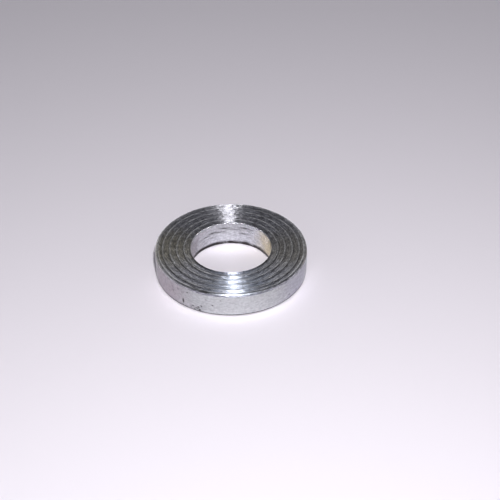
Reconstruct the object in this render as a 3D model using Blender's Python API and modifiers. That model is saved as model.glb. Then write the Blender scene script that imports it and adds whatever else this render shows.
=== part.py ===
"""Plain shaft collar: one solid steel ring, turned from bar and zinc plated.

The ring lies on its flat face at Z = 0, with its bore along +Z and its
grooved face on top. All lengths are in metres.
"""

import math

import bpy

# Overall size
OUTER_DIAMETER = 0.032
BORE_DIAMETER = 0.017
THICKNESS = 0.0055

# Edges
RIM_ROUND = 0.00045  # radius of the grooved face's outer edge
BORE_CHAMFER = 0.00015  # 45 degree break at both ends of the bore
BASE_CHAMFER = 0.0003  # 45 degree break at the foot of the outer wall

# Grooved face: ridges at an even pitch, counted inwards from the outer wall
GROOVE_PITCH = 0.0015
GROOVE_DEPTH = 0.0002
GROOVE_LOWEST = 0.12  # where a groove is deepest, as a share of its width
RIDGE_WIDTH = 0.00008  # flat crest left standing between two grooves
NARROWEST_GROOVE = 0.0006  # beside the bore, where the ridges stop
RIM_LAND = 0.00012  # flat between the last groove and the rounded edge

# Fineness of the faceted solid
STEPS_ROUND_AXIS = 80
STEPS_PER_INNER_FLANK = 2
STEPS_PER_OUTER_FLANK = 5
STEPS_PER_RIM_ROUND = 5
MERGE_DISTANCE = 0.00001
SHARP_ANGLE = math.radians(25)

# Bright zinc plate
ZINC_COLOUR = (0.62, 0.63, 0.66, 1.0)
ZINC_ROUGHNESS = 0.3
ZINC_METALLIC = 1.0


def clear_scene():
    """Remove every object, so that the file can be run again."""
    for old in list(bpy.data.objects):
        bpy.data.objects.remove(old, do_unlink=True)


def groove_outline(start, end):
    """Points of one groove between two radii, left by a tool set aslant.

    A short steep flank falls from the inner edge to the deepest point, and a
    long gentle one climbs to the outer edge, each along half a cosine wave.
    """
    lowest = start + GROOVE_LOWEST * (end - start)
    points = []
    for step in range(STEPS_PER_INNER_FLANK):
        share = step / STEPS_PER_INNER_FLANK
        drop = GROOVE_DEPTH * (1 - math.cos(math.pi * share)) / 2
        points.append((start + (lowest - start) * share, THICKNESS - drop))
    for step in range(STEPS_PER_OUTER_FLANK + 1):
        share = step / STEPS_PER_OUTER_FLANK
        drop = GROOVE_DEPTH * (1 + math.cos(math.pi * share)) / 2
        points.append((lowest + (end - lowest) * share, THICKNESS - drop))
    return points


def grooved_face_outline(inner_radius, outer_radius):
    """Points of the grooved face, outwards between two radii.

    The ridges stand at whole numbers of pitches in from the outer wall, as
    far in as leaves room for one more groove beside the bore.
    """
    room = outer_radius - inner_radius - NARROWEST_GROOVE
    ridge_count = math.floor(room / GROOVE_PITCH)
    start = inner_radius
    points = []
    for pitches in range(ridge_count, 0, -1):
        ridge = outer_radius - pitches * GROOVE_PITCH
        points += groove_outline(start, ridge - RIDGE_WIDTH)
        start = ridge
    return points + groove_outline(start, outer_radius - RIM_ROUND - RIM_LAND)


def rim_outline(outer_radius):
    """Points of the quarter round from the grooved face down to the wall."""
    points = []
    for step in range(STEPS_PER_RIM_ROUND + 1):
        angle = math.pi / 2 * step / STEPS_PER_RIM_ROUND
        radius = outer_radius - RIM_ROUND * (1 - math.sin(angle))
        height = THICKNESS - RIM_ROUND * (1 - math.cos(angle))
        points.append((radius, height))
    return points


def ring_outline():
    """The ring's whole cross-section: out along the grooved face, down the
    outer wall, in along the flat face and up the bore."""
    bore_radius = BORE_DIAMETER / 2
    outer_radius = OUTER_DIAMETER / 2
    return [
        *grooved_face_outline(bore_radius + BORE_CHAMFER, outer_radius),
        *rim_outline(outer_radius),
        (outer_radius, BASE_CHAMFER),
        (outer_radius - BASE_CHAMFER, 0.0),
        (bore_radius + BORE_CHAMFER, 0.0),
        (bore_radius, BORE_CHAMFER),
        (bore_radius, THICKNESS - BORE_CHAMFER),
    ]


def turned_object(name, outline, collection):
    """Turn a closed outline of (radius, height) points about the Z axis."""
    mesh = bpy.data.meshes.new(name)
    corners = len(outline)
    mesh.from_pydata(
        [(radius, 0.0, height) for radius, height in outline],
        [(index, (index + 1) % corners) for index in range(corners)],
        [],
    )
    turned = bpy.data.objects.new(name, mesh)
    collection.objects.link(turned)

    screw = turned.modifiers.new("Turn", "SCREW")
    screw.axis = "Z"
    screw.angle = 2 * math.pi
    screw.steps = STEPS_ROUND_AXIS
    screw.render_steps = STEPS_ROUND_AXIS
    screw.use_merge_vertices = True
    screw.merge_threshold = MERGE_DISTANCE

    bpy.context.view_layer.objects.active = turned
    turned.select_set(True)
    bpy.ops.object.modifier_apply(modifier=screw.name)
    turned.data.shade_smooth()
    turned.data.set_sharp_from_angle(angle=SHARP_ANGLE)
    return turned


def zinc_plate():
    """Bright zinc over turned steel."""
    material = bpy.data.materials.new("bright_zinc")
    material.use_nodes = True
    shader = material.node_tree.nodes["Principled BSDF"]
    shader.inputs["Base Color"].default_value = ZINC_COLOUR
    shader.inputs["Roughness"].default_value = ZINC_ROUGHNESS
    shader.inputs["Metallic"].default_value = ZINC_METALLIC
    return material


def build_collar():
    """The collar is a single piece, so it is a single object."""
    collection = bpy.data.collections.new("shaft_collar")
    bpy.context.scene.collection.children.link(collection)
    ring = turned_object("collar_ring", ring_outline(), collection)
    ring.data.materials.append(zinc_plate())


clear_scene()
build_collar()
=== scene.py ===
"""Looks of a plain shaft collar: one steel ring, turned, zinc plated and worn.

Lengths are in metres. Angles run anticlockwise from +X, seen from above.
"""

import math

import bpy
import numpy as np
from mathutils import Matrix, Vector


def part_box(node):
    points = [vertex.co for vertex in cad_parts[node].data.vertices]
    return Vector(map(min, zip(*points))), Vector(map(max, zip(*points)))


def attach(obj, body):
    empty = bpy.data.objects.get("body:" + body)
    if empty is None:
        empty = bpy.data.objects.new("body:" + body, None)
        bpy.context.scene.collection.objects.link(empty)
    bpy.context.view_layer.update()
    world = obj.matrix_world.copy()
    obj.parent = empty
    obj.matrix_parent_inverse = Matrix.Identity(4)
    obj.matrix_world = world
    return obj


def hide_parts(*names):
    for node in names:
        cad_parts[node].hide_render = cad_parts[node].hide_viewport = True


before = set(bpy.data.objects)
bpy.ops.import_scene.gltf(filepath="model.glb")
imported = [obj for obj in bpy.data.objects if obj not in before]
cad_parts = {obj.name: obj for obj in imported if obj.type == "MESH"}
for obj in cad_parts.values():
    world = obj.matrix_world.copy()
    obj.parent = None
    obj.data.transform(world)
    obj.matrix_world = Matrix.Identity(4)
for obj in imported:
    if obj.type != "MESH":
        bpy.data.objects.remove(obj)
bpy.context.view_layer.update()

# ---------------------------------------------------------------------------
# Camera. It stands 25 cm in front of the ring and looks down on it through a
# long lens, with the ring a little left of the middle.
# ---------------------------------------------------------------------------

EYE = Vector((0.0, -0.1995, 0.1564))
LOOK_DOWN = math.radians(37.26)
LOOK_RIGHT = math.radians(1.15)
LENS_MM = 85.6
SENSOR_MM = 36.0
NEAREST_SEEN = 0.01

lens = bpy.data.cameras.new("camera")
lens.sensor_width = SENSOR_MM
lens.lens = LENS_MM
lens.clip_start = NEAREST_SEEN
camera = bpy.data.objects.new("camera", lens)
camera.location = EYE
camera.rotation_euler = (math.pi / 2 - LOOK_DOWN, 0.0, -LOOK_RIGHT)
bpy.context.scene.collection.objects.link(camera)
bpy.context.scene.camera = camera

# ---------------------------------------------------------------------------
# Paper. A wide sheet of pale matt paper lies flat on the table under the ring.
# It is part of the stage, not of the object.
# ---------------------------------------------------------------------------

PAPER_HALF = 1.5
PAPER_COLOUR = (0.80, 0.765, 0.82, 1.0)
PAPER_ROUGHNESS = 0.9
PAPER_SHINE = 0.2

paper_mesh = bpy.data.meshes.new("paper")
paper_mesh.from_pydata(
    [
        (-PAPER_HALF, -PAPER_HALF, 0.0),
        (PAPER_HALF, -PAPER_HALF, 0.0),
        (PAPER_HALF, PAPER_HALF, 0.0),
        (-PAPER_HALF, PAPER_HALF, 0.0),
    ],
    [],
    [(0, 1, 2, 3)],
)
paper = bpy.data.objects.new("paper", paper_mesh)
bpy.context.scene.collection.objects.link(paper)
matt_paper = bpy.data.materials.new("matt_paper")
matt_paper.use_nodes = True
paper_shader = matt_paper.node_tree.nodes["Principled BSDF"]
paper_shader.inputs["Base Color"].default_value = PAPER_COLOUR
paper_shader.inputs["Roughness"].default_value = PAPER_ROUGHNESS
paper_shader.inputs["Specular IOR Level"].default_value = PAPER_SHINE
paper_mesh.materials.append(matt_paper)

# ---------------------------------------------------------------------------
# Light. A small lamp beside the lens, a second in the same place that adds
# only to the metal's shine, and a wide soft one overhead that the metal
# doesn't mirror. The room is pale low down and dim above.
# ---------------------------------------------------------------------------

RING_MIDDLE = Vector((0.0, 0.0, 0.0))
BESIDE_LENS = (0.0140, -0.1600, 0.1915)
SMALL_SIDE = 0.012
LAMP_WATTS = 0.53
GLINT_WATTS = 0.85
LAMP_COLOUR = (1.0, 0.985, 1.0)
OVERHEAD = (0.0, -0.4, 1.0)
OVERHEAD_SIDE = 1.0
OVERHEAD_WATTS = 0.45
OVERHEAD_COLOUR = (1.0, 0.98, 1.0)
ROOM_LOW = (0.74, 0.74, 0.77, 1.0)
ROOM_HIGH = (0.078, 0.079, 0.087, 1.0)
DIM_FROM, DIM_TO = 0.15, 0.75  # sine of the angle above the table


def add_lamp(name, place, side, watts, colour):
    """A square lamp of that side at place, turned to face the ring's middle."""
    lamp = bpy.data.lights.new(name, "AREA")
    lamp.size = side
    lamp.energy = watts
    lamp.color = colour
    holder = bpy.data.objects.new(name, lamp)
    holder.location = place
    to_ring = RING_MIDDLE - Vector(place)
    holder.rotation_euler = to_ring.to_track_quat("-Z", "Y").to_euler()
    bpy.context.scene.collection.objects.link(holder)
    return holder


def feed(tree, socket, source):
    """Link a socket to another node's output, or set it to a fixed value."""
    if isinstance(source, bpy.types.NodeSocket):
        tree.links.new(source, socket)
    else:
        socket.default_value = source


def add(tree, kind, feeds=(), **settings):
    """A node with its settings made and its inputs fed."""
    node = tree.nodes.new(kind)
    for name, value in settings.items():
        setattr(node, name, value)
    for socket, source in dict(feeds).items():
        feed(tree, node.inputs[socket], source)
    return node


def spread(tree, value, low, high, to_low=0.0, to_high=1.0, **settings):
    """A value moved in proportion, so that low becomes to_low and high becomes
    to_high, and held there beyond them."""
    feeds = {0: value, 1: low, 2: high, 3: to_low, 4: to_high}
    return add(tree, "ShaderNodeMapRange", feeds, **settings).outputs[0]


def blend(tree, share, under, over, blend_type="MIX"):
    """Two colours mixed by a share from 0 to 1. With MULTIPLY, the first is
    multiplied by the second to the extent of the share."""
    mix = add(
        tree, "ShaderNodeMix", {0: share}, data_type="RGBA", blend_type=blend_type
    )
    colours = [socket for socket in mix.inputs if socket.type == "RGBA"]
    for socket, source in zip(colours, (under, over)):
        feed(tree, socket, source)
    return next(socket for socket in mix.outputs if socket.type == "RGBA")


add_lamp("lamp_by_lens", BESIDE_LENS, SMALL_SIDE, LAMP_WATTS, LAMP_COLOUR)
glint = add_lamp("glint_by_lens", BESIDE_LENS, SMALL_SIDE, GLINT_WATTS, LAMP_COLOUR)
glint.visible_diffuse = False
overhead = add_lamp(
    "soft_overhead", OVERHEAD, OVERHEAD_SIDE, OVERHEAD_WATTS, OVERHEAD_COLOUR
)
overhead.visible_glossy = False

room = bpy.data.worlds.new("room")
room.use_nodes = True
room_nodes = room.node_tree
outlook = add(room_nodes, "ShaderNodeTexCoord").outputs["Generated"]
upwards = add(room_nodes, "ShaderNodeSeparateXYZ", {0: outlook}).outputs["Z"]
dimming = spread(
    room_nodes, upwards, DIM_FROM, DIM_TO, interpolation_type="SMOOTHSTEP"
)
walls = blend(room_nodes, dimming, ROOM_LOW, ROOM_HIGH)
feed(room_nodes, room_nodes.nodes["Background"].inputs["Color"], walls)
bpy.context.scene.world = room
bpy.context.scene.view_settings.view_transform = "Standard"

# ---------------------------------------------------------------------------
# Collar ring. One piece of steel bar, turned, bored and faced with a tool set
# aslant that left five saw-toothed grooves, its edges broken, then zinc
# plated. Knocks since then have nicked its ridges, its rim and its wall.
# ---------------------------------------------------------------------------

_, high_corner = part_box("collar_ring")
OUTER = high_corner.x
THICK = high_corner.z
BORE = 0.0085
RIM_ROUND = 0.00045
BORE_BREAK = 0.00015
FOOT_BREAK = 0.0003
GROOVE_PITCH = 0.0015
GROOVE_DEPTH = 0.0002
GROOVE_LOWEST = 0.04
RIDGE = 0.00008
NARROWEST_GROOVE = 0.0006
RIM_LAND = 0.00012

# Points of the mesh round the ring, and on each run of its outline
STEPS_ROUND = 720
CLIMB_POINTS = 13
RIM_POINTS = 7
WALL_POINTS = 25
UNDER_POINTS = 7
BORE_POINTS = 24

FACE, RIM, WALL, UNDER, INSIDE = range(5)


def groove(start, end):
    """One groove between two radii. A short steep flank falls straight from
    the inner edge to the deepest point, GROOVE_LOWEST of the way across, and
    a long gentle one climbs to the outer edge along half a cosine wave, or
    along a parabola where the rim cuts the groove short."""
    climb = np.linspace(0, 1, CLIMB_POINTS)
    share = np.append(0, GROOVE_LOWEST + (1 - GROOVE_LOWEST) * climb)
    wave = (1 + np.cos(math.pi * climb)) / 2
    depth_left = 1 - climb**2 if end > OUTER - GROOVE_PITCH else wave
    drop = np.append(0, GROOVE_DEPTH * depth_left)
    return np.stack([start + (end - start) * share, THICK - drop], axis=1)


def cross_section():
    """The ring's closed outline as (radius, height) rows, with the number of
    the surface that each row lies on: ridges at whole pitches in from the
    wall with a groove between each two, a quarter circle round the rim, and
    evenly divided straight runs."""
    inner = BORE + BORE_BREAK
    ridge_count = int((OUTER - inner - NARROWEST_GROOVE) / GROOVE_PITCH)
    ridges = OUTER - GROOVE_PITCH * np.arange(ridge_count, 0, -1)
    starts = np.append(inner, ridges)
    ends = np.append(ridges - RIDGE, OUTER - RIM_ROUND - RIM_LAND)
    turn = np.linspace(0, math.pi / 2, RIM_POINTS)
    rim_radius = OUTER - RIM_ROUND * (1 - np.sin(turn))
    rim_height = THICK - RIM_ROUND * (1 - np.cos(turn))
    down = np.linspace(THICK - RIM_ROUND, FOOT_BREAK, WALL_POINTS)[1:]
    inwards = np.linspace(OUTER - FOOT_BREAK, inner, UNDER_POINTS)
    up = np.linspace(BORE_BREAK, THICK - BORE_BREAK, BORE_POINTS)
    runs = [
        (FACE, np.concatenate([groove(a, b) for a, b in zip(starts, ends)])),
        (RIM, np.stack([rim_radius, rim_height], axis=1)),
        (WALL, np.stack([np.full_like(down, OUTER), down], axis=1)),
        (UNDER, np.stack([inwards, np.zeros_like(inwards)], axis=1)),
        (INSIDE, np.stack([np.full_like(up, BORE), up], axis=1)),
    ]
    points = np.concatenate([run for _, run in runs])
    surface = np.concatenate([np.full(len(run), number) for number, run in runs])
    return points, surface


def section_directions(points):
    """The distance of each row along the closed outline, and the way out of
    the metal there, square to the line between its two neighbours."""
    steps = np.linalg.norm(np.diff(points, axis=0), axis=1)
    along = np.concatenate([[0.0], np.cumsum(steps)])
    tangent = np.roll(points, -1, axis=0) - np.roll(points, 1, axis=0)
    outward = np.stack([-tangent[:, 1], tangent[:, 0]], axis=1)
    return along, outward / np.linalg.norm(outward, axis=1)[:, None]


outline, surface = cross_section()
along, outward = section_directions(outline)
radius, height = outline.T
angle = np.arange(STEPS_ROUND)[:, None] * (2 * math.pi / STEPS_ROUND)
start_of = {
    number: along[surface == number].min()
    for number in (FACE, RIM, WALL, UNDER, INSIDE)
}
on_face = surface <= RIM

# How far across the cut the wear of a ridge and the painted shade of a valley reach
RIDGE_REACH = 0.00019
VALLEY_REACH = 0.00016
HAIR = 1e-7  # heights this close are the same


def nearness(middles, reach):
    """How near each row of the outline is to the nearest of some places along
    the cut: a bell curve of the distance, 1 at the place itself."""
    bells = np.exp(-(((along[:, None] - middles) / reach) ** 2))
    return bells.max(axis=1)


crests = (surface == FACE) & (height > THICK - HAIR) & (radius > BORE + RIM_ROUND)
valleys = (surface == FACE) & (height < THICK - GROOVE_DEPTH + HAIR)
near_ridge = nearness(along[crests], RIDGE_REACH) * on_face
in_valley = nearness(along[valleys], VALLEY_REACH) * on_face


def uneven(generator, round_length, across_length, spikes):
    """Random relief over the whole ring, about 1 high: one random number for
    each point, blurred over round_length metres round the ring and
    across_length metres across it, then raised to the power spikes so that
    the high and low places stand out."""
    shape = (STEPS_ROUND, len(outline))
    turns = np.fft.fftfreq(STEPS_ROUND, 1 / STEPS_ROUND)[:, None]
    blur_round = np.exp(-0.5 * (turns * round_length / radius) ** 2)
    waves = np.fft.fft(generator.standard_normal(shape), axis=0)
    total = np.fft.ifft(waves * blur_round, axis=0).real
    gap = np.abs(along[:, None] - along[None, :])
    blur_across = np.exp(-0.5 * (gap / across_length) ** 2)
    total = total @ (blur_across / np.sqrt((blur_across**2).sum(axis=0)))
    total /= total.std(axis=0)
    return np.sign(total) * np.abs(total) ** spikes


# What the cut and the plating left. Each layer has its height, its length
# round the ring and across it, its spikes, and its strength on each row.
LAYERS = [
    (6e-6, 0.0030, 0.0008, 1.0, on_face),
    (10e-6, 0.0040, 0.0001, 1.0, on_face),
    (4.5e-6, 0.00026, 0.00011, 2.0, on_face),
    (9e-6, 0.0005, 0.0001, 1.5, near_ridge),
    (2.5e-6, 0.0008, 0.0004, 1.3, surface == WALL),
    (3e-6, 0.0015, 0.00018, 1.3, surface == INSIDE),
    (3e-6, 0.0012, 0.0009, 1.3, surface == UNDER),
]
RIM_SHARE = 0.4  # how much of the face's relief the smoother rim has
SEED = 7

generator = np.random.default_rng(SEED)
relief = np.zeros((STEPS_ROUND, len(outline)))
for layer_height, round_length, across_length, spikes, strength in LAYERS:
    layer = uneven(generator, round_length, across_length, spikes)
    relief += layer_height * layer * strength
relief *= np.where(surface == RIM, RIM_SHARE, 1.0)


def scattered(count, surface_numbers, length, width, depth):
    """Dents at random places on some of the surfaces. Each is between a half
    and one and a half times the length and width given, and three tenths to
    all of the depth, and leans up to 45 degrees either way."""
    lowest = min(start_of[number] for number in surface_numbers)
    highest = max(along[surface == number].max() for number in surface_numbers)
    return np.stack(
        [
            generator.uniform(0, 2 * math.pi, count),
            generator.uniform(lowest, highest, count),
            generator.uniform(0.5, 1.5, count) * length,
            generator.uniform(0.5, 1.5, count) * width,
            generator.uniform(0.3, 1.0, count) * depth,
            generator.uniform(-1.0, 1.0, count),
        ],
        axis=1,
    )


def placed(degrees, number, offset, length, width, depth, lean=0.0):
    """One dent in a known place, with its middle offset metres along the cut
    from where that surface starts."""
    middle = start_of[number] + offset
    return [math.radians(degrees), middle, length, width, depth, lean]


def dents(places):
    """Depth of all the dents at each point: for each, its own depth times a
    bell curve of the distance from its middle, round and across the cut. A
    lean slants it, so that it wanders across as it goes round."""
    total = np.zeros((STEPS_ROUND, len(outline)))
    for at_angle, at_along, length, width, depth, lean in places:
        turned_by = (angle - at_angle + math.pi) % (2 * math.pi) - math.pi
        off = turned_by * radius
        bell = (off / length) ** 2 + ((along - at_along - lean * off) / width) ** 2
        total += depth * np.exp(-bell)
    return total


# Knocks hold dirt, so they look dark: many small ones all over, a cluster on
# the wall, smears beside the rim, and scratches round the bore. A placed row
# gives angle, surface, offset, length, width, depth and, if it slants, lean.
knocks = np.concatenate(
    [
        scattered(320, (FACE,), 0.00022, 0.0001, 0.00003),
        scattered(30, (RIM,), 0.00025, 0.00012, 0.00003),
        scattered(30, (WALL,), 0.00018, 0.00012, 0.00002),
        scattered(24, (UNDER,), 0.0004, 0.0002, 0.00003),
        scattered(20, (INSIDE,), 0.0005, 0.0001, 0.00002),
        [
            placed(232, WALL, 0.0033, 0.00014, 0.00045, 0.00010),
            placed(232.5, WALL, 0.0011, 0.00012, 0.00012, 0.00003),
            placed(231, WALL, 0.0014, 0.00018, 0.00012, 0.00002),
            placed(239, WALL, 0.0041, 0.00020, 0.00018, 0.00009),
            placed(240.5, WALL, 0.0037, 0.00028, 0.00014, 0.00009),
            placed(242, WALL, 0.0043, 0.00018, 0.00016, 0.00010),
            placed(243.5, WALL, 0.0040, 0.00030, 0.00016, 0.00009),
            placed(245, WALL, 0.0036, 0.00020, 0.00014, 0.00009),
            placed(246, WALL, 0.0042, 0.00024, 0.00016, 0.00009),
            placed(247.5, WALL, 0.0032, 0.00018, 0.00016, 0.00007),
            placed(256, WALL, 0.0024, 0.00016, 0.00014, 0.00006),
            placed(236, WALL, 0.0008, 0.00024, 0.00012, 0.00006),
            placed(227, WALL, 0.0009, 0.00020, 0.00012, 0.00005),
            placed(222, WALL, 0.0021, 0.00022, 0.00014, 0.00004),
            placed(251, WALL, 0.0012, 0.00018, 0.00012, 0.00005),
            placed(262, WALL, 0.0009, 0.00020, 0.00012, 0.00004),
            placed(318, WALL, 0.0036, 0.00030, 0.00010, 0.00004, 0.3),
            placed(327, WALL, 0.0039, 0.00026, 0.00010, 0.00004, 0.3),
            placed(221, WALL, 0.0012, 0.00030, 0.00012, 0.00004, 0.4),
            placed(249, RIM, 0.0002, 0.0011, 0.00022, 0.00007),
            placed(241, RIM, -0.0003, 0.0009, 0.00024, 0.00005),
            placed(303, RIM, -0.0004, 0.0009, 0.00026, 0.00004, 0.1),
            placed(309, RIM, -0.0008, 0.0006, 0.00018, 0.00003, 0.1),
            placed(294, FACE, 0.0010, 0.0007, 0.00018, 0.00003, 0.1),
            placed(113, INSIDE, 0.0033, 0.0019, 0.00011, 0.00007, 0.08),
            placed(128, INSIDE, 0.0030, 0.0013, 0.00011, 0.00006, -0.06),
            placed(100, INSIDE, 0.0041, 0.0016, 0.00010, 0.00006, 0.05),
            placed(84, INSIDE, 0.0037, 0.0013, 0.00010, 0.00005, 0.0),
            placed(66, INSIDE, 0.0043, 0.0018, 0.00010, 0.00006, -0.05),
            placed(72, INSIDE, 0.0027, 0.0012, 0.00009, 0.00004, 0.04),
            placed(120, INSIDE, 0.0022, 0.0010, 0.00009, 0.00004, 0.03),
        ],
    ]
)

# Scrapes are rubbed bright. The last is a notch across the rim.
scrapes = np.concatenate(
    [
        scattered(420, (FACE, RIM), 0.00024, 0.0001, 0.00002),
        [
            placed(204, FACE, 0.0050, 0.0003, 0.00018, 0.00008, 0.5),
            placed(203, FACE, 0.0046, 0.0003, 0.00014, 0.00007, 0.5),
            placed(216, FACE, 0.0031, 0.0003, 0.00018, 0.00008, -0.4),
            placed(40, FACE, 0.0006, 0.0007, 0.0004, 0.00002, 1.0),
            placed(137, FACE, 0.0006, 0.0007, 0.0004, 0.00002, -1.0),
            placed(219, RIM, 0.0001, 0.0009, 0.0001, 0.00006, 0.3),
            placed(81, RIM, 0.0001, 0.00018, 0.0006, 0.00030),
        ],
    ]
)
knocked = dents(knocks)
scraped = dents(scrapes)
relief -= knocked + scraped

# The surface: the outline moved out or in by its relief, kept within the
# ring's own sizes, and turned about the Z axis.
moved = outline[None, :, :] + relief[..., None] * outward[None, :, :]
moved = np.clip(moved, (BORE, 0.0), (OUTER, THICK))
moved_radius, moved_height = moved[..., 0], moved[..., 1]
points = np.stack(
    [np.cos(angle) * moved_radius, np.sin(angle) * moved_radius, moved_height], axis=2
)
rows = np.arange(STEPS_ROUND)[:, None] * len(outline)
columns = np.arange(len(outline))[None, :]
next_rows = np.roll(rows, -1, axis=0)
next_columns = np.roll(columns, -1, axis=1)
quads = np.stack(
    [
        rows + columns,
        rows + next_columns,
        next_rows + next_columns,
        next_rows + columns,
    ],
    axis=2,
)
mesh = bpy.data.meshes.new("turned_ring")
mesh.from_pydata(points.reshape(-1, 3), [], quads.reshape(-1, 4))
mesh.shade_smooth()
ring = bpy.data.objects.new("turned_ring", mesh)
bpy.context.scene.collection.objects.link(ring)


def store(name, values):
    """Keep a number for each point of the ring, for its materials to read."""
    attribute = mesh.attributes.new(name, "FLOAT", "POINT")
    flat = np.broadcast_to(values, relief.shape).ravel().astype(np.float32)
    attribute.data.foreach_set("value", flat)


# Where the plate is rubbed bright: on the ridges, on the last flat before the
# rim, on one side of the rim, and in the scrapes.
RIM_EDGE_REACH = 0.00018
RIM_EDGE_INSET = 0.0001
RUBBED_SIDE = math.radians(182)
RUBBED_SPAN = math.radians(35)
RUBBED_MOST = 0.9
SCRAPE_SHINES = 0.00003  # a scrape this deep is fully bright

rim_edge = nearness(start_of[RIM] - RIM_EDGE_INSET, RIM_EDGE_REACH)
round_bell = np.exp(-(((angle - RUBBED_SIDE) / RUBBED_SPAN) ** 2))
rubbed_side = RUBBED_MOST * round_bell * (surface == RIM)
edge = np.maximum(np.maximum(near_ridge, rim_edge), rubbed_side) * on_face
edge = np.clip(edge + np.clip(scraped / SCRAPE_SHINES, 0, 1), 0, 1)

# Where the colour is darkened: dirt in the knocks, painted shade in the valleys,
# and a darkening on the rim and just under it and at the foot of wall and bore.
DARKEST = 1.6
KNOCK_FILLS = 0.00006  # a knock this deep is as dirty as can be
BORE_FOOT, BORE_FOOT_FADE = 0.0010, 0.0004
WALL_FOOT = 0.00045
UNDER_RIM = 0.0006
RIM_SPAN = 0.7
RIM_DARKENING = 0.2
VALLEY_SHADE = 0.6

bore_foot = np.clip((BORE_FOOT - height) / BORE_FOOT_FADE, 0, 1)
wall_foot = (surface == WALL) & (height < WALL_FOOT)
foot = np.where(surface == INSIDE, bore_foot, wall_foot)
by_rim = (surface <= WALL) & (radius > OUTER - RIM_ROUND * RIM_SPAN)
by_rim = by_rim & (height > THICK - UNDER_RIM)
darkening = np.maximum(DARKEST * foot, RIM_DARKENING * by_rim)
# Painted shade in the valleys, at the foot of each steep step.
darkening = np.maximum(darkening, VALLEY_SHADE * in_valley)
grime_and_shade = np.clip(DARKEST * knocked / KNOCK_FILLS, 0, DARKEST) + darkening

store("cut_across", along)
store("edge", edge)
store("grime_and_shade", grime_and_shade)


def new_group(name, inputs, outputs):
    """An empty shader node group with number sockets, and its two ends."""
    group = bpy.data.node_groups.new(name, "ShaderNodeTree")
    kind = "NodeSocketFloat"
    for label, value in inputs.items():
        socket = group.interface.new_socket(label, in_out="INPUT", socket_type=kind)
        socket.default_value = value
    for label in outputs:
        group.interface.new_socket(label, in_out="OUTPUT", socket_type=kind)
    given = group.nodes.new("NodeGroupInput").outputs
    result = group.nodes.new("NodeGroupOutput").inputs
    return group, given, result


def place_group(tree, group, **values):
    """The outputs of a node group placed in a material with its own values."""
    return add(tree, "ShaderNodeGroup", values, node_tree=group).outputs


def sum_of(tree, operation, first, second=0.0, third=0.0):
    """The result of one sum, such as ADD or MULTIPLY, on numbers or outputs."""
    feeds = {0: first, 1: second, 2: third}
    return add(tree, "ShaderNodeMath", feeds, operation=operation).outputs[0]


def noise(tree, vector, scale, detail):
    """Smooth random values from 0 to 1, with blots about 1 / scale long."""
    feeds = {"Vector": vector, "Scale": scale, "Detail": detail, "Roughness": 0.5}
    return add(tree, "ShaderNodeTexNoise", feeds).outputs["Fac"]


def make_cutting_marks():
    """Lines that follow the cut round the ring: a noise read at x / Length,
    y / Length and the distance along the outline / Pitch, so that its blots
    are long one way and narrow the other. Lines is that noise. Height is its
    distance from its middle, 0.5, times the Height given."""
    group, given, result = new_group(
        "cutting_marks",
        {"Length": 0.002, "Pitch": 0.0001, "Height": 0.00001},
        ("Height", "Lines"),
    )
    place = add(group, "ShaderNodeTexCoord").outputs["Object"]
    split = add(group, "ShaderNodeSeparateXYZ", {0: place}).outputs
    across = add(group, "ShaderNodeAttribute", attribute_name="cut_across")
    stretched = {
        0: sum_of(group, "DIVIDE", split[0], given["Length"]),
        1: sum_of(group, "DIVIDE", split[1], given["Length"]),
        2: sum_of(group, "DIVIDE", across.outputs["Fac"], given["Pitch"]),
    }
    stretched = add(group, "ShaderNodeCombineXYZ", stretched).outputs[0]
    lines = noise(group, stretched, scale=1.0, detail=1.0)
    centred = sum_of(group, "SUBTRACT", lines, 0.5)
    feed(group, result["Height"], sum_of(group, "MULTIPLY", centred, given["Height"]))
    feed(group, result["Lines"], lines)
    return group


def make_light_and_tint_patch():
    """A patch with a ragged edge, for painted light and tints: the distance from
    its middle over its Reach, plus Ragged times a cloudy noise's distance from
    0.5. The mask rises smoothly from 0 where that is 1, to 1 where it is 0.2."""
    clear, full = 1.0, 0.2
    group, given, result = new_group(
        "light_and_tint_patch",
        {"X": 0.0, "Y": 0.0, "Z": 0.003, "Reach": 0.005, "Ragged": 0.4},
        ("Mask",),
    )
    place = add(group, "ShaderNodeTexCoord").outputs["Object"]
    middle = {0: given["X"], 1: given["Y"], 2: given["Z"]}
    middle = add(group, "ShaderNodeCombineXYZ", middle).outputs[0]
    feeds = {0: place, 1: middle}
    apart = add(group, "ShaderNodeVectorMath", feeds, operation="DISTANCE")
    fade = sum_of(group, "DIVIDE", apart.outputs["Value"], given["Reach"])
    cloud = noise(group, place, scale=700.0, detail=3.0)
    centred = sum_of(group, "SUBTRACT", cloud, 0.5)
    ragged = sum_of(group, "MULTIPLY_ADD", centred, given["Ragged"], fade)
    mask = spread(group, ragged, clear, full, interpolation_type="SMOOTHSTEP")
    feed(group, result["Mask"], mask)
    return group


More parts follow.
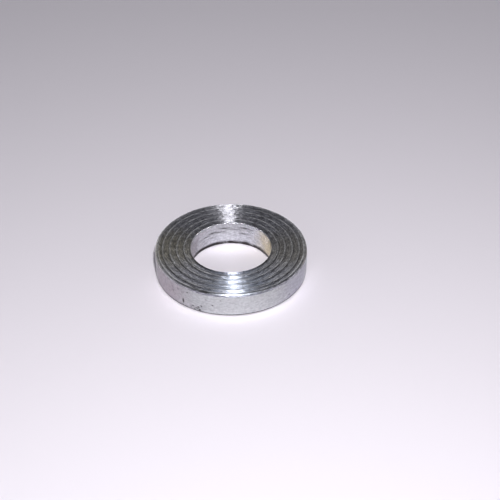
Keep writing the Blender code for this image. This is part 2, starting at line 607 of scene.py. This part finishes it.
def make_wear_and_shade():
    """The ring's own edge values and its dirt-and-painted-shade values, broken up:
    each is multiplied by the mean of a fine and a coarse noise, stretched to run
    from two fifths to one, so no line is even along its length. The second stops at
    1."""
    low, high, least = 0.40, 0.58, 0.4
    group, given, result = new_group("wear_and_shade", {"Grain": 900.0}, ("Rubbed", "GrimeAndShade"))
    place = add(group, "ShaderNodeTexCoord").outputs["Object"]
    broken = noise(group, place, scale=given["Grain"], detail=2.0)
    drift = noise(group, place, scale=260.0, detail=1.0)
    half_drift = sum_of(group, "MULTIPLY", drift, 0.5)
    both_scales = sum_of(group, "MULTIPLY_ADD", broken, 0.5, half_drift)
    patchy = spread(group, both_scales, low, high, to_low=least)
    bright = add(group, "ShaderNodeAttribute", attribute_name="edge")
    darkened = add(group, "ShaderNodeAttribute", attribute_name="grime_and_shade")
    rubbed = sum_of(group, "MULTIPLY", bright.outputs["Fac"], patchy)
    heavy = sum_of(group, "MULTIPLY", darkened.outputs["Fac"], patchy)
    feed(group, result["Rubbed"], rubbed)
    feed(group, result["GrimeAndShade"], sum_of(group, "MINIMUM", heavy, 1.0))
    return group


cutting_marks = make_cutting_marks()
light_and_tint_patch = make_light_and_tint_patch()
wear_and_shade = make_wear_and_shade()


def patched_with_light_and_tint(tree, colour, light_and_tint_patches):
    """A colour multiplied in turn by the tint of each patch, where its mask
    is. A patch has its middle, its reach, how ragged it is, and its tint."""
    for (x, y, z), reach, ragged, tint in light_and_tint_patches:
        mask = place_group(tree, light_and_tint_patch, X=x, Y=y, Z=z, Reach=reach, Ragged=ragged)
        colour = blend(tree, mask["Mask"], colour, tint, "MULTIPLY")
    return colour


def comb(tree, shader, anisotropy):
    """Turn a shader's sheen to run square to the cutting marks: a quarter turn
    from the direction round the ring."""
    shader.inputs["Anisotropic"].default_value = anisotropy
    shader.inputs["Anisotropic Rotation"].default_value = 0.25
    tangent = add(tree, "ShaderNodeTangent", direction_type="RADIAL", axis="Z")
    feed(tree, shader.inputs["Tangent"], tangent.outputs[0])


def bumped(tree, shader, height):
    """Give a shader a bump whose height is already in metres."""
    feeds = {"Height": height, "Distance": 1.0, "Strength": 1.0}
    bump = add(tree, "ShaderNodeBump", feeds)
    feed(tree, shader.inputs["Normal"], bump.outputs[0])


def faced_zinc():
    """Zinc over the grooved face. Three quarters of its shine is burnished,
    alike in every direction, and a quarter is combed across the cutting
    marks. Its colour runs from dark to light along the marks, then takes painted
    reflections of the room on its sides and a painted highlight at its back. It
    is rubbed bright where edge says, and darkened where grime_and_shade says:
    dirt in the knocks, painted shade in the valleys, a darkening by the rim."""
    dark, light = (0.27, 0.27, 0.30, 1), (0.60, 0.60, 0.65, 1)
    dark_lines, light_lines = 0.36, 0.64
    # Painted reflections of the room: olive on the left, blue-grey and darker at the
    # front, brown on the right. The pale patch at the back is a painted highlight.
    light_and_tint_patches = [
        ((-0.013, 0.0, 0.0055), 0.010, 0.8, (0.79, 0.745, 0.575, 1)),  # olive
        ((0.001, -0.0125, 0.0055), 0.010, 0.8, (0.86, 0.94, 1.0, 1)),  # blue
        ((0.0130, -0.001, 0.0055), 0.010, 0.8, (0.68, 0.65, 0.56, 1)),  # brown
        ((0.0, 0.0125, 0.0055), 0.008, 0.8, (1.35, 1.35, 1.35, 1)),  # pale
    ]
    bright = (0.92, 0.915, 0.915, 1)
    darkening_colour = (0.13, 0.125, 0.125, 1)
    combed_share = 0.25
    combed_roughness, burnished_roughness = 0.45, 0.27
    fine_share = 0.6  # how much of the fine marks the burnishing left

    material = bpy.data.materials.new("faced_zinc")
    material.use_nodes = True
    tree = material.node_tree
    worn_and_shaded = place_group(tree, wear_and_shade, Grain=1500.0)
    fine = place_group(
        tree, cutting_marks, Length=0.004, Pitch=0.00022, Height=0.00010
    )
    coarse = place_group(
        tree, cutting_marks, Length=0.0009, Pitch=0.00024, Height=0.00005
    )
    contrast = spread(tree, coarse["Lines"], dark_lines, light_lines)
    patched_plate = patched_with_light_and_tint(tree, blend(tree, contrast, dark, light), light_and_tint_patches)
    unrubbed = blend(tree, worn_and_shaded["GrimeAndShade"], patched_plate, darkening_colour)
    rubbed = blend(tree, worn_and_shaded["Rubbed"], patched_plate, bright)
    rubbed = blend(tree, worn_and_shaded["GrimeAndShade"], rubbed, darkening_colour)

    combed = tree.nodes["Principled BSDF"]
    combed.inputs["Metallic"].default_value = 1.0
    combed.inputs["Roughness"].default_value = combed_roughness
    comb(tree, combed, anisotropy=1.0)
    feed(tree, combed.inputs["Base Color"], unrubbed)
    bumped(tree, combed, sum_of(tree, "ADD", fine["Height"], coarse["Height"]))

    burnished = add(tree, "ShaderNodeBsdfPrincipled")
    burnished.inputs["Metallic"].default_value = 1.0
    burnished.inputs["Roughness"].default_value = burnished_roughness
    feed(tree, burnished.inputs["Base Color"], rubbed)
    shallow = sum_of(
        tree, "MULTIPLY_ADD", fine["Height"], fine_share, coarse["Height"]
    )
    bumped(tree, burnished, shallow)

    feeds = {0: combed_share, 1: burnished.outputs[0], 2: combed.outputs[0]}
    both = add(tree, "ShaderNodeMixShader", feeds)
    feed(tree, tree.nodes["Material Output"].inputs["Surface"], both.outputs[0])
    return material


def satin_zinc(name, anisotropy, roughness, dark, light, fine_height, coarse_height):
    """Zinc over a smooth turned surface. Its colour runs from dark to light
    with the mean of its marks and of fine specks, then it is tinted in patches,
    rubbed, and darkened. It is a little rougher where the coarse marks stand high."""
    dark_mottle, light_mottle = 0.40, 0.60
    light_and_tint_patches = [
        ((0.0085, 0.001, 0.003), 0.008, 0.5, (0.97, 0.84, 0.52, 1)),  # yellow
        ((-0.0135, -0.0085, 0.002), 0.009, 0.6, (0.93, 0.84, 0.88, 1)),  # pink
        ((0.0140, -0.0080, 0.003), 0.008, 0.6, (0.93, 0.91, 0.98, 1)),  # mauve
        ((-0.0085, 0.001, 0.003), 0.008, 0.5, (0.48, 0.45, 0.45, 1)),  # dull
    ]
    bright = (0.85, 0.85, 0.87, 1)
    darkening_colour = (0.05, 0.045, 0.045, 1)
    smooth_marks, rough_marks = 0.3, 0.7
    swing = 0.05

    material = bpy.data.materials.new(name)
    material.use_nodes = True
    tree = material.node_tree
    satin = tree.nodes["Principled BSDF"]
    satin.inputs["Metallic"].default_value = 1.0
    comb(tree, satin, anisotropy)
    worn_and_shaded = place_group(tree, wear_and_shade, Grain=700.0)
    fine = place_group(
        tree, cutting_marks, Length=0.0012, Pitch=0.00020, Height=fine_height
    )
    coarse = place_group(
        tree, cutting_marks, Length=0.003, Pitch=0.0008, Height=coarse_height
    )
    place = add(tree, "ShaderNodeTexCoord").outputs["Object"]
    specks = noise(tree, place, scale=2200.0, detail=2.0)
    half_specks = sum_of(tree, "MULTIPLY", specks, 0.5)
    mottle = sum_of(tree, "MULTIPLY_ADD", fine["Lines"], 0.5, half_specks)
    contrast = spread(tree, mottle, dark_mottle, light_mottle)
    patched_plate = patched_with_light_and_tint(tree, blend(tree, contrast, dark, light), light_and_tint_patches)
    half_rubbed = sum_of(tree, "MULTIPLY", worn_and_shaded["Rubbed"], 0.5)
    patched_plate = blend(tree, half_rubbed, patched_plate, bright)
    patched_plate = blend(tree, worn_and_shaded["GrimeAndShade"], patched_plate, darkening_colour)
    feed(tree, satin.inputs["Base Color"], patched_plate)
    bumped(tree, satin, sum_of(tree, "ADD", fine["Height"], coarse["Height"]))
    least, most = roughness - swing, roughness + swing
    rough = spread(tree, coarse["Lines"], smooth_marks, rough_marks, least, most)
    feed(tree, satin.inputs["Roughness"], rough)
    return material


mesh.materials.append(faced_zinc())
mesh.materials.append(
    satin_zinc(
        "turned_zinc",
        anisotropy=0.35,
        roughness=0.56,
        dark=(0.40, 0.407, 0.425, 1),
        light=(0.53, 0.54, 0.555, 1),
        fine_height=0.000010,
        coarse_height=0.000010,
    )
)
mesh.materials.append(
    satin_zinc(
        "bored_zinc",
        anisotropy=0.7,
        roughness=0.32,
        dark=(0.45, 0.46, 0.49, 1),
        light=(0.69, 0.70, 0.735, 1),
        fine_height=0.000016,
        coarse_height=0.000024,
    )
)

# The last strip of faces is the broken edge between the bore and the face.
FACED, TURNED, BORED = range(3)
SHARPER_THAN = math.radians(35)
finish = np.select([on_face, surface == INSIDE], [FACED, BORED], TURNED)
finish[-1] = FACED
finishes = np.tile(finish, STEPS_ROUND).astype(np.int32)
mesh.polygons.foreach_set("material_index", finishes)
mesh.set_sharp_from_angle(angle=SHARPER_THAN)

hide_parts("collar_ring")
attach(ring, "root")
